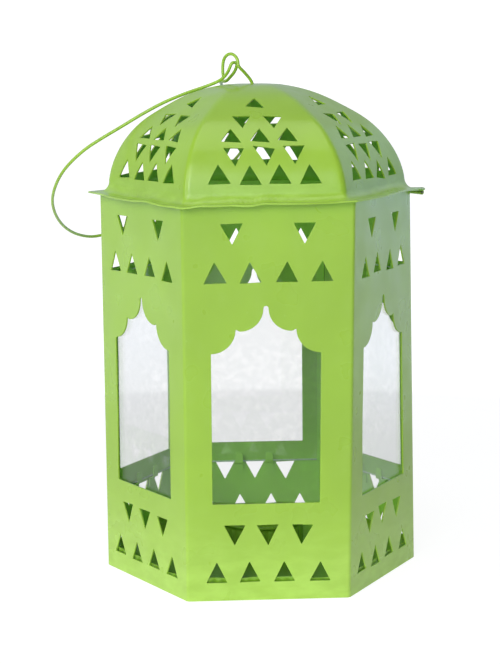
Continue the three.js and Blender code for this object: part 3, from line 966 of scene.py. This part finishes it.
def hinge():
    spans = [knuckle_span(i) for i in range(KNUCKLES)]
    spans[0] = (spans[0][0] + BARREL_SHORT, spans[0][1])
    verts, faces = strip_solid(curl(LIP_RADIUS * COS30 - KNUCKLE_TAIL, 90, -195), spans[::2])
    sharpen(new_piece("lid_knuckles", verts, faces, DOME_PAINT, "lid"))
    face = APOTHEM + GAP
    knuckles = strip_solid(curl(face + KNUCKLE_TAIL, -90, 195), spans[1::2])
    plate = strip_solid(leaf_section(face), [(spans[1][0], spans[-2][1])])
    verts, faces = join(knuckles, plate)
    _, out = hex_frame(HINGE_WALL)
    near = ramp(HINGE_OUT - BARREL_RADIUS - verts @ out, 0, LEAF_BLEND)[:, None]
    verts = verts + (warp(verts) - verts) * near
    sharpen(new_piece("hinge_leaf_strip", verts, faces, BODY_PAINT, "body", ["hinge_leaf"]))


hinge()


# --- Inside: tray, cup, glass and clips ---

TRAY_FLOOR = 7.8
TRAY_RIM_Z = 10.3
TRAY_BEND = 1.2
INNER_APOTHEM = APOTHEM - SHEET
TRAY_INSIDE = INNER_APOTHEM - GAP - SHEET
# Waves of the rim: size, waves round the tray, none, phase
TRAY_WAVES = [(0.35, 5.0, 0, 0.3), (0.3, 11.0, 0, 1.4), (0.2, 23.0, 0, 4.0)]
TRAY_BACK_RISE = 2.9


def base_tray():
    corner = arc(TRAY_INSIDE - TRAY_BEND, TRAY_FLOOR + TRAY_BEND, TRAY_BEND, -90, 0, 5)
    profile = [(0, TRAY_FLOOR), (30, TRAY_FLOOR)] + corner + [(TRAY_INSIDE, TRAY_RIM_Z)]

    def rim(around):
        turn = around * math.pi / 3
        behind = np.clip(-np.cos(turn - math.pi / 6), 0, 1)
        return ripple(turn, turn, TRAY_WAVES) + TRAY_BACK_RISE * behind

    start = Shell(profile, ([0, 1], [1, 1])).v[-2]
    end = start + TRAY_RIM_Z - TRAY_FLOOR - TRAY_BEND
    shell = Shell(profile, ([0, 1], [1.2, 1.2]), rim, (start, end))
    rings = np.concatenate([np.arange(4, start - 3, 5), np.linspace(start - 2.2, shell.length - 0.8, 6)])
    sheet = CutSheet(shell.outline(), [], shell.fill(rings, 4, 2), 0.4)
    verts, faces, normals = thicken(sheet, shell.place, SHEET)
    # The tray gets the darker paint of painted shade
    new_piece("tray_sheet", warp(verts), faces, INNER_SHADE_PAINT, "body", ["base_tray"], normals)


base_tray()

CUP_RADIUS = 21
CUP_BOTTOM = 8.1
CUP_HEIGHT = 14
CUP_SHEET = 0.6
CUP_BEND = 1.5
CUP_BEAD = 0.75
CUP_BEAD_OUT = 0.5
CUP_FLUTES = 32
FLUTE_DEPTH = 0.35


def cup_profile():
    """Section of the cup as (radius, height, share of the flutes): up its outside, down its inside."""
    top, floor = CUP_BOTTOM + CUP_HEIGHT, CUP_BOTTOM + CUP_SHEET
    wall = CUP_RADIUS - CUP_BEAD_OUT
    inner = wall - CUP_SHEET
    heights = np.linspace(CUP_BOTTOM + 3, top - 2.6, 5)
    stretches = [
        (0, [(r, CUP_BOTTOM) for r in (0, 8, 14, wall - 1.6)]),
        (0.3, arc(wall - CUP_BEND, CUP_BOTTOM + CUP_BEND, CUP_BEND, -60, 0, 2)),
        (1, [(wall, z) for z in heights]),
        (0.2, [(wall - 0.1, top - 1.3)]),
        (0, arc(wall + CUP_BEAD_OUT - CUP_BEAD, top - CUP_BEAD, CUP_BEAD, -60, 200, 9)),
        (1, [(inner, z) for z in heights[::-1]]),
        (0.3, arc(inner - 1, floor + 1, 1, 0, -60, 2)),
        (0, [(r, floor) for r in (inner - 1, 12, 6, 0)]),
    ]
    return [(r, z, flute) for flute, points in stretches for r, z in points]


def tealight_cup():
    """Pressed cup with a fluted wall and a rolled rim."""
    profile = cup_profile()
    sides = CUP_FLUTES * 6
    angles = np.linspace(0, 2 * math.pi, sides, endpoint=False)
    wave = FLUTE_DEPTH * np.cos(CUP_FLUTES * angles)
    verts = [(0, 0, profile[0][1]), (0, 0, profile[-1][1])]
    for r, z, flute in profile[1:-1]:
        radius = r + wave * flute
        verts += list(zip(radius * np.cos(angles), radius * np.sin(angles), np.full(sides, z)))
    faces = tube(len(profile) - 2, sides, 2)
    last = len(verts) - sides
    for i in range(sides):
        j = (i + 1) % sides
        faces += [[0, 2 + j, 2 + i], [1, last + i, last + j]]
    # The cup gets the darker paint of painted shade
    new_piece("fluted_cup", verts, faces, INNER_SHADE_PAINT, "body", ["tealight_cup"])


tealight_cup()

PANE_WIDTH = 67
PANE_THICKNESS = 1.8
GROUND_EDGE = 0.6
PANE_BOTTOM = 35.6
PANE_TOP = 143.2
CLIP_SHEET = 0.6
CLIP_WIDTH = 5.0
CLIP_FOOT = 5.5
CLIP_FINGER = 5.0
CLIP_BEND = 0.7
# A clip's section, across and through the sheet, in halves of its width and thickness
CLIP_SECTION = [
    (-1, 0.6), (-0.96, 1), (0.96, 1), (1, 0.6), (1, -0.6), (0.96, -1), (-0.96, -1), (-1, -0.6),
]
LOWER_CLIP_U = 7.85
UPPER_CLIP_U = 15.75


def wall_place(wall, offset):
    """Places of (u, z) points inside a wall, offset into the lantern from its inner face."""
    along, out = hex_frame(wall)

    def place(points, depth):
        distance = INNER_APOTHEM - offset - depth
        flat = points[:, :1] * along + distance * out
        flat[:, 2] = points[:, 1]
        return warp(flat)

    return place


def pane(wall):
    half = PANE_WIDTH / 2
    outline = [(-half, PANE_BOTTOM), (half, PANE_BOTTOM), (half, PANE_TOP), (-half, PANE_TOP)]
    heights = np.linspace(PANE_BOTTOM, PANE_TOP, 13)
    grid = np.array([(u, z) for u in np.linspace(-half, half, 9) for z in heights])
    sheet = CutSheet(outline, [], grid, 3, GROUND_EDGE)
    verts, faces, normals = thicken(sheet, wall_place(wall, GAP), PANE_THICKNESS)
    name = WALL_NAMES[wall]
    node = f"pane_{name}"
    piece = new_piece(f"glass_{name}", verts, faces, GLASS, "body", [node], normals)
    piece.data.materials.append(GLASS_EDGE)
    # Of its four edges the lower and the upper one are ground
    flat_faces = 2 * len(sheet.faces)
    for face in piece.data.polygons[flat_faces:]:
        face.material_index = 1 if abs(face.normal.z) > 0.3 else 0


def clip_path():
    """Middle line of a clip from the side: depth into the lantern, and height over the pane's edge."""
    half = CLIP_SHEET / 2
    finger = 2 * GAP + PANE_THICKNESS + half
    foot, turn = GAP + half, -GAP - half
    corners = np.array([(foot, -CLIP_FOOT), (foot, turn), (finger, turn), (finger, CLIP_FINGER)])
    points = [corners[0]]
    for before, here, after in zip(corners, corners[1:], corners[2:]):
        back, on = unit(np.array([before - here, after - here])) * CLIP_BEND
        points += bend(here + back, here, here + on, 5)
    return np.array(points + [corners[-1] - (0, drop) for drop in (1.2, 0.35, 0)])


def clip(name, wall, u, edge_z, upright, rng):
    """Bent tab that holds a pane by its lower edge, or by its upper one when it isn't upright."""
    path = clip_path()
    tangent = unit(np.gradient(path, axis=0))
    side = np.stack([tangent[:, 1], -tangent[:, 0]], 1)
    widths = np.interp(np.linspace(0, 1, len(path)), [0, 0.6, 1], [1, 0.95, 0.72]) * CLIP_WIDTH / 2
    widths[-2:] *= (0.9, 0.6)
    along, out = hex_frame(wall)
    lean = rng.uniform(-0.35, 0.35)
    verts = []
    for point, normal, width in zip(path, side, widths):
        for across, thick in CLIP_SECTION:
            depth, height = point + normal * thick * CLIP_SHEET / 2
            spread = u + across * width + lean * max(height, 0) / CLIP_FINGER
            z = edge_z + (height if upright else -height)
            verts.append(along * spread + out * (INNER_APOTHEM - depth) + (0, 0, z))
    faces = rod(len(path), len(CLIP_SECTION))
    if upright:
        faces = [face[::-1] for face in faces]
    verts = warp(np.array(verts))
    # Clips inside the lantern get the painted shade colour
    sharpen(new_piece(f"tab_{name}", verts, faces, INSIDE_SHADE_PAINT, "body", [f"clip_{name}"]))


def glazing():
    rng = random.Random(31)
    for wall, wall_name in enumerate(WALL_NAMES):
        pane(wall)
        for side, sign in (("left", -1), ("right", 1)):
            off = CUTS_OFF.get(wall, (0, 0, 0))[1]
            clip(f"{wall_name}_lower_{side}", wall, sign * LOWER_CLIP_U + off, PANE_BOTTOM, True, rng)
            clip(f"{wall_name}_upper_{side}", wall, sign * UPPER_CLIP_U + off, PANE_TOP, False, rng)


glazing()


# --- Wire: hook, handle and hinge pin ---

WIRE_RADIUS = 0.765
CROWN_Z = 232.5
HOOK_HOLE_X = -2.0
HOOK_TURN = math.radians(130)
HOOK_STEM = [
    (6.5, 0, -3.5), (3, 0, -3.3), (0.7, 0, -2.8), (0, 0, -1.7),
    (-0.1, 0, 0.2), (-0.9, -0.4, 1.9), (-3.8, -2.3, 5.4),
]
HOOK_ARCH_CENTRE = np.array([-12.1, 0, 241])
HOOK_ARCH_RADIUS = 5.5
HOOK_END_DROP = 5.2
HANDLE_PIVOT = np.array([-10.4, -2, 242.5])
HANDLE_DIP = math.radians(39.5)
HANDLE_END_GAP = 0.5
# Places along the handle, across it and above it; the front strand and the back one are bent apart
HANDLE_EYE = [
    (0.1, 1.1, 0), (0.8, 1.8, -0.4), (2.4, 2.1, -1.2),
    (5, 2.1, -1.9), (8.5, 2.1, -1.9), (12, 2.5, -1.3),
]
HANDLE_FRONT = [
    (17, 5.2, 0), (23.8, 14.1, 1.1), (30.9, 23.1, 1.5),
    (38.9, 31.3, 1.3), (47.1, 39.1, 0.7), (54.8, 46.9, 0),
]
HANDLE_BACK = [
    (17, 4.6, 2.2), (23.8, 11.5, 5.3), (30.9, 19.5, 7.4),
    (38.9, 29, 7.6), (47.1, 38.3, 6), (54.8, 46.6, 3.5),
]
HANDLE_BOW = [
    (61.4, 51.9, -0.3), (69, 54.9, -0.5), (78.5, 56, -0.5), (90, 54.1, -0.5),
    (103.3, 48.7, -0.5), (117.5, 38.4, -0.5), (130.2, 24.8, -0.5), (138, 11.5, -0.5),
]
HANDLE_TIP = (140.88, 0, -0.5)
PIN_RADIUS = 0.5
PIN_PROUD = 0.35


def smooth_path(points, steps):
    """Centripetal Catmull-Rom curve through the points."""
    points = np.array(points, float)
    points = np.concatenate([[2 * points[0] - points[1]], points, [2 * points[-1] - points[-2]]])
    out = []
    for p0, p1, p2, p3 in zip(points, points[1:], points[2:], points[3:]):
        d0, d1, d2 = (math.sqrt(np.linalg.norm(b - a)) for a, b in ((p0, p1), (p1, p2), (p2, p3)))
        t1 = ((p1 - p0) / d0 - (p2 - p0) / (d0 + d1) + (p2 - p1) / d1) * d1
        t2 = ((p2 - p1) / d1 - (p3 - p1) / (d1 + d2) + (p3 - p2) / d2) * d1
        square = -3 * p1 + 3 * p2 - 2 * t1 - t2
        cube = 2 * p1 - 2 * p2 + t1 + t2
        for t in np.linspace(0, 1, steps, endpoint=False):
            out.append(p1 + t1 * t + square * t ** 2 + cube * t ** 3)
    return np.array(out + [points[-2]])


# Rings of a cut end: share of the wire's radius, and how far out in radii
CUT_END = [(0.55, 0.25), (0.85, 0.1)]


def wire(path, radius, sides=14, nip=0.0):
    """Round wire along a path, with slightly rounded cut ends; nip thins the last end."""
    tangent = unit(np.gradient(path, axis=0))
    side = np.cross(tangent[0], (0.3, 0.5, 0.8))
    angles = np.linspace(0, 2 * math.pi, sides, endpoint=False)[:, None]
    radii = radius * (1 - nip * np.clip(1 - np.linalg.norm(path[-1] - path, axis=1) / 2, 0, 1) ** 2)
    circles = []
    for ahead in tangent:
        side = side - ahead * (side @ ahead)
        side /= np.linalg.norm(side)
        circles.append(np.cos(angles) * side + np.sin(angles) * np.cross(ahead, side))
    ring = lambda i, share, out: path[i] + radii[i] * (out * tangent[i] + share * circles[i])
    rings = [ring(0, share, -out) for share, out in CUT_END]
    rings += [ring(i, 1, 0) for i in range(len(path))]
    rings += [ring(-1, share, out) for share, out in CUT_END[::-1]]
    return np.concatenate(rings), rod(len(rings), sides)


def hook():
    along = np.array([math.cos(HOOK_TURN), math.sin(HOOK_TURN), 0])
    points = [np.array([HOOK_HOLE_X + x, y, CROWN_Z + z]) for x, y, z in HOOK_STEM]
    for across, up in arc(0, 0, HOOK_ARCH_RADIUS, 0, 180, 6):
        points.append(HOOK_ARCH_CENTRE - along * across + (0, 0, up))
    points.append(points[-1] - (0, 0, HOOK_END_DROP))
    verts, faces = wire(smooth_path(points, 8), WIRE_RADIUS, nip=0.3)
    new_piece("hook_wire", verts, faces, WIRE_PAINT, "hook", ["hook"])


def handle():
    level = np.array([math.cos(HOOK_TURN), math.sin(HOOK_TURN), 0])
    along = level * math.cos(HANDLE_DIP) - np.array([0, 0, math.sin(HANDLE_DIP)])
    across = np.array([-math.sin(HOOK_TURN), math.cos(HOOK_TURN), 0])
    lift = -np.cross(across, along)
    place = lambda x, y, z: HANDLE_PIVOT + along * x + across * y + lift * z
    eye = [(0, HANDLE_END_GAP / 2, 0)] + HANDLE_EYE
    front = [place(x, y, z) for x, y, z in eye + HANDLE_FRONT + HANDLE_BOW + [HANDLE_TIP]]
    back = [place(x, -y, z) for x, y, z in eye + HANDLE_BACK + HANDLE_BOW]
    verts, faces = wire(smooth_path(front + back[::-1], 10), WIRE_RADIUS)
    new_piece("handle_wire", verts, faces, WIRE_PAINT, "handle", ["handle"])


def hinge_pin():
    along, out = hex_frame(HINGE_WALL)
    reach = HINGE_LENGTH / 2 + PIN_PROUD
    places = np.linspace(BARREL_SHORT - reach, reach, 40)
    path = np.array([out * HINGE_OUT + along * u + (0, 0, HINGE_Z) for u in places])
    verts, faces = wire(path, PIN_RADIUS, 16)
    new_piece("pin_wire", verts, faces, STEEL, "body", ["hinge_pin"])


hook()
handle()
hinge_pin()
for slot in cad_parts["hook_washer"].material_slots:
    slot.material = STEEL


# --- Camera, lights and floor ---

CAMERA_PLACE = (-51.8, -902.7, 259.5)
CAMERA_YAW = 3.014
CAMERA_PITCH = 9.156
CAMERA_ROLL = -0.586
CAMERA_LENS = 103.02


def make_camera():
    yaw, pitch, roll = (math.radians(a) for a in (CAMERA_YAW, CAMERA_PITCH, CAMERA_ROLL))
    ahead = Vector((math.sin(yaw) * math.cos(pitch), math.cos(yaw) * math.cos(pitch), -math.sin(pitch)))
    level = Vector((math.cos(yaw), -math.sin(yaw), 0))
    upright = level.cross(ahead)
    right = math.cos(roll) * level + math.sin(roll) * upright
    up = -math.sin(roll) * level + math.cos(roll) * upright
    data = bpy.data.cameras.new("camera")
    data.lens = CAMERA_LENS
    data.clip_start, data.clip_end = 0.05, 50
    camera = bpy.data.objects.new("camera", data)
    turn = Matrix((right, up, -ahead)).transposed().to_4x4()
    camera.matrix_world = Matrix.Translation(Vector(CAMERA_PLACE) * MM) @ turn
    bpy.context.scene.collection.objects.link(camera)
    bpy.context.scene.camera = camera


AIM_HEIGHT = 0.12


def softbox(name, azimuth, elevation, distance, width, height, strength, colour):
    """Area light aimed at the lantern's middle. Azimuth 0 is in front of it, 90 on its right."""
    a, e = math.radians(azimuth), math.radians(elevation)
    away = Vector((math.sin(a) * math.cos(e), -math.cos(a) * math.cos(e), math.sin(e)))
    data = bpy.data.lights.new(name, "AREA")
    data.shape = "RECTANGLE"
    data.size, data.size_y = width, height
    data.energy = strength * width * height * math.pi
    data.color = colour
    light = bpy.data.objects.new(name, data)
    light.location = Vector((0, 0, AIM_HEIGHT)) + away * distance
    light.rotation_mode = "QUATERNION"
    light.rotation_quaternion = away.to_track_quat("Z", "Y")
    light.visible_camera = False
    light.visible_transmission = False
    bpy.context.scene.collection.objects.link(light)


# Brightness of what the camera sees behind the lantern, where 1 is white; of the room that lights
# it; and of the white sweep behind it, which its gloss picks up
BACKDROP = 1.17
ROOM = 0.08
ROOM_COLOUR = (0.93, 0.96, 1.0)
SWEEP_GLOSS = 0.6
SWEEP_COLOUR = (0.82, 0.92, 1.08)
FLOOR_RADIUS = 6
FLOOR_SEEN_NEAR = 0.89
FLOOR_SEEN_FAR = 1.05
FLOOR_STEP = 0.445
FLOOR_GLOW_NEAR = 0.3
FLOOR_GLOW_FAR = 0.1


def seen_rays(n):
    """1 for rays that reach the camera straight or through glass, 0 for those that were reflected."""
    bounces = n.math("ADD", n.ray("Glossy Depth"), n.ray("Diffuse Depth"))
    through = n.math("MULTIPLY", n.ray("Is Transmission Ray"), n.math("LESS_THAN", bounces, 0.5))
    return n.math("MAXIMUM", n.ray("Is Camera Ray"), through)


def make_world():
    world = bpy.data.worlds.new("studio")
    bpy.context.scene.world = world
    world.use_nodes = True
    n = Nodes(world.node_tree, "ShaderNodeOutputWorld")

    def glow(colour, strength):
        return n.add("ShaderNodeBackground", {"Color": colour, "Strength": strength}).outputs[0]

    behind = n.range(n.axis(n.coordinates["Generated"], "Y"), 0.1, 0.7)
    gloss = n.math("MULTIPLY", n.ray("Is Glossy Ray"), behind)
    room = n.mix_shaders(gloss, glow(ROOM_COLOUR, ROOM), glow(SWEEP_COLOUR, SWEEP_GLOSS))
    n.surface(n.mix_shaders(seen_rays(n), room, glow((1, 1, 1), BACKDROP)))


def white_sweep(n):
    """To the camera it nearly vanishes, and the lantern gets light from it."""
    place = n.coordinates["Object"]
    far = n.add("ShaderNodeVectorMath", {0: place}, operation="LENGTH").outputs["Value"]
    seen = seen_rays(n)
    unseen = n.math("SUBTRACT", 1.0, seen)
    cool = n.math("MULTIPLY", unseen, n.range(far, 0.2, 0.6))
    step = n.range(far, FLOOR_STEP - 0.012, FLOOR_STEP + 0.012, FLOOR_SEEN_NEAR, FLOOR_SEEN_FAR)
    behind = n.range(n.axis(place, "Y"), 0.05, 0.4, 0.0, SWEEP_GLOSS)
    sheen = n.math("MULTIPLY", n.ray("Is Glossy Ray"), behind)
    glow = n.math("ADD", n.range(far, 0.15, 0.35, FLOOR_GLOW_NEAR, FLOOR_GLOW_FAR), sheen)
    strength = n.math("ADD", n.math("MULTIPLY", step, seen), n.math("MULTIPLY", unseen, glow))
    return n.principled({
        "Base Color": n.mix(seen, (0.8, 0.8, 0.8), (0.25, 0.25, 0.25)),
        "Roughness": 0.9,
        "Specular IOR Level": 0.1,
        "Emission Color": n.mix(cool, (1.0, 1.0, 1.0), SWEEP_COLOUR),
        "Emission Strength": strength,
    })


def make_floor():
    mesh = bpy.data.meshes.new("floor")
    rim = [(x, y, 0) for x, y in arc(0, 0, FLOOR_RADIUS, 0, 354.375, 63)]
    mesh.from_pydata(rim, [], [list(range(len(rim)))])
    mesh.materials.append(new_material("floor", white_sweep))
    floor = bpy.data.objects.new("floor", mesh)
    bpy.context.scene.collection.objects.link(floor)


make_camera()
make_world()
make_floor()
WHITE = (1, 1, 1)
COOL = (0.55, 0.76, 1.1)
WARM = (1.0, 0.955, 0.91)
CRISP = (0.84, 1.0, 1.06)

# Name, azimuth, elevation, distance, width, height, strength and colour
SOFTBOXES = [
    ("key_softbox", -62, 18, 1.6, 0.7, 0.9, 2.45, WHITE),
    ("front_softbox", -24, 27, 2.2, 1.5, 1.3, 2.95, WARM),
    ("fill_softbox", -13, 18, 2.2, 1.6, 1.2, 1.85, CRISP),
    ("top_softbox", -20, 80, 1.7, 1.2, 1.2, 1.5, WHITE),
    ("right_card", 123, 18, 1.3, 0.9, 1.8, 0.5, COOL),
    ("left_card", -117, 20, 1.3, 0.9, 1.3, 0.15, WHITE),
]
for box in SOFTBOXES:
    softbox(*box)
bpy.context.scene.view_settings.view_transform = "Standard"
